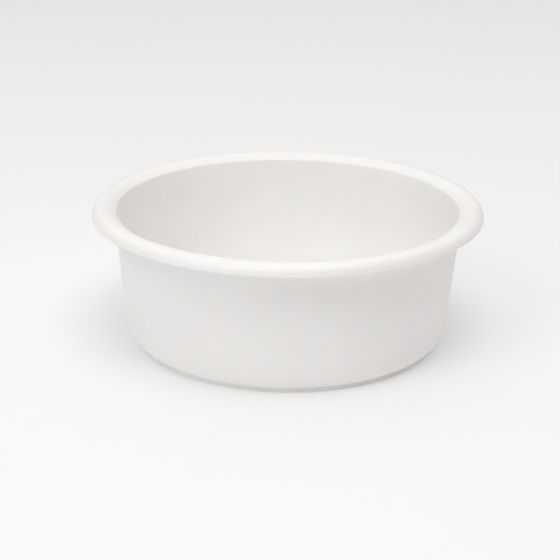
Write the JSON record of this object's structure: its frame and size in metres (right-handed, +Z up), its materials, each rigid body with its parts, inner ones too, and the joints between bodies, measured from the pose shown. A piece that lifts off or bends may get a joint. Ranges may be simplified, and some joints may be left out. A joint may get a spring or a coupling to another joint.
{
  "type": "mortar mixing tub",
  "caption": "Round white plastic mixing tub: sloping side wall, broad rolled rim open underneath for fingertips, rounded bottom corner and a low foot ring.",
  "frame": {"origin": "centre of the circle that the foot ring stands on, at ground level", "axes": "+Z up along the tub's axis of rotation; X and Y are any two level directions, because the tub is round"},
  "size_m": [0.38, 0.38, 0.137],
  "materials": {
    "white_polyethylene": "satin, slightly translucent"
  },
  "bodies": {
    "root": {"rim_crown": "white_polyethylene", "rim_skirt": "white_polyethylene", "side_wall": "white_polyethylene", "bottom_corner": "white_polyethylene", "floor": "white_polyethylene", "foot_ring": "white_polyethylene"}
  },
  "joints": []
}
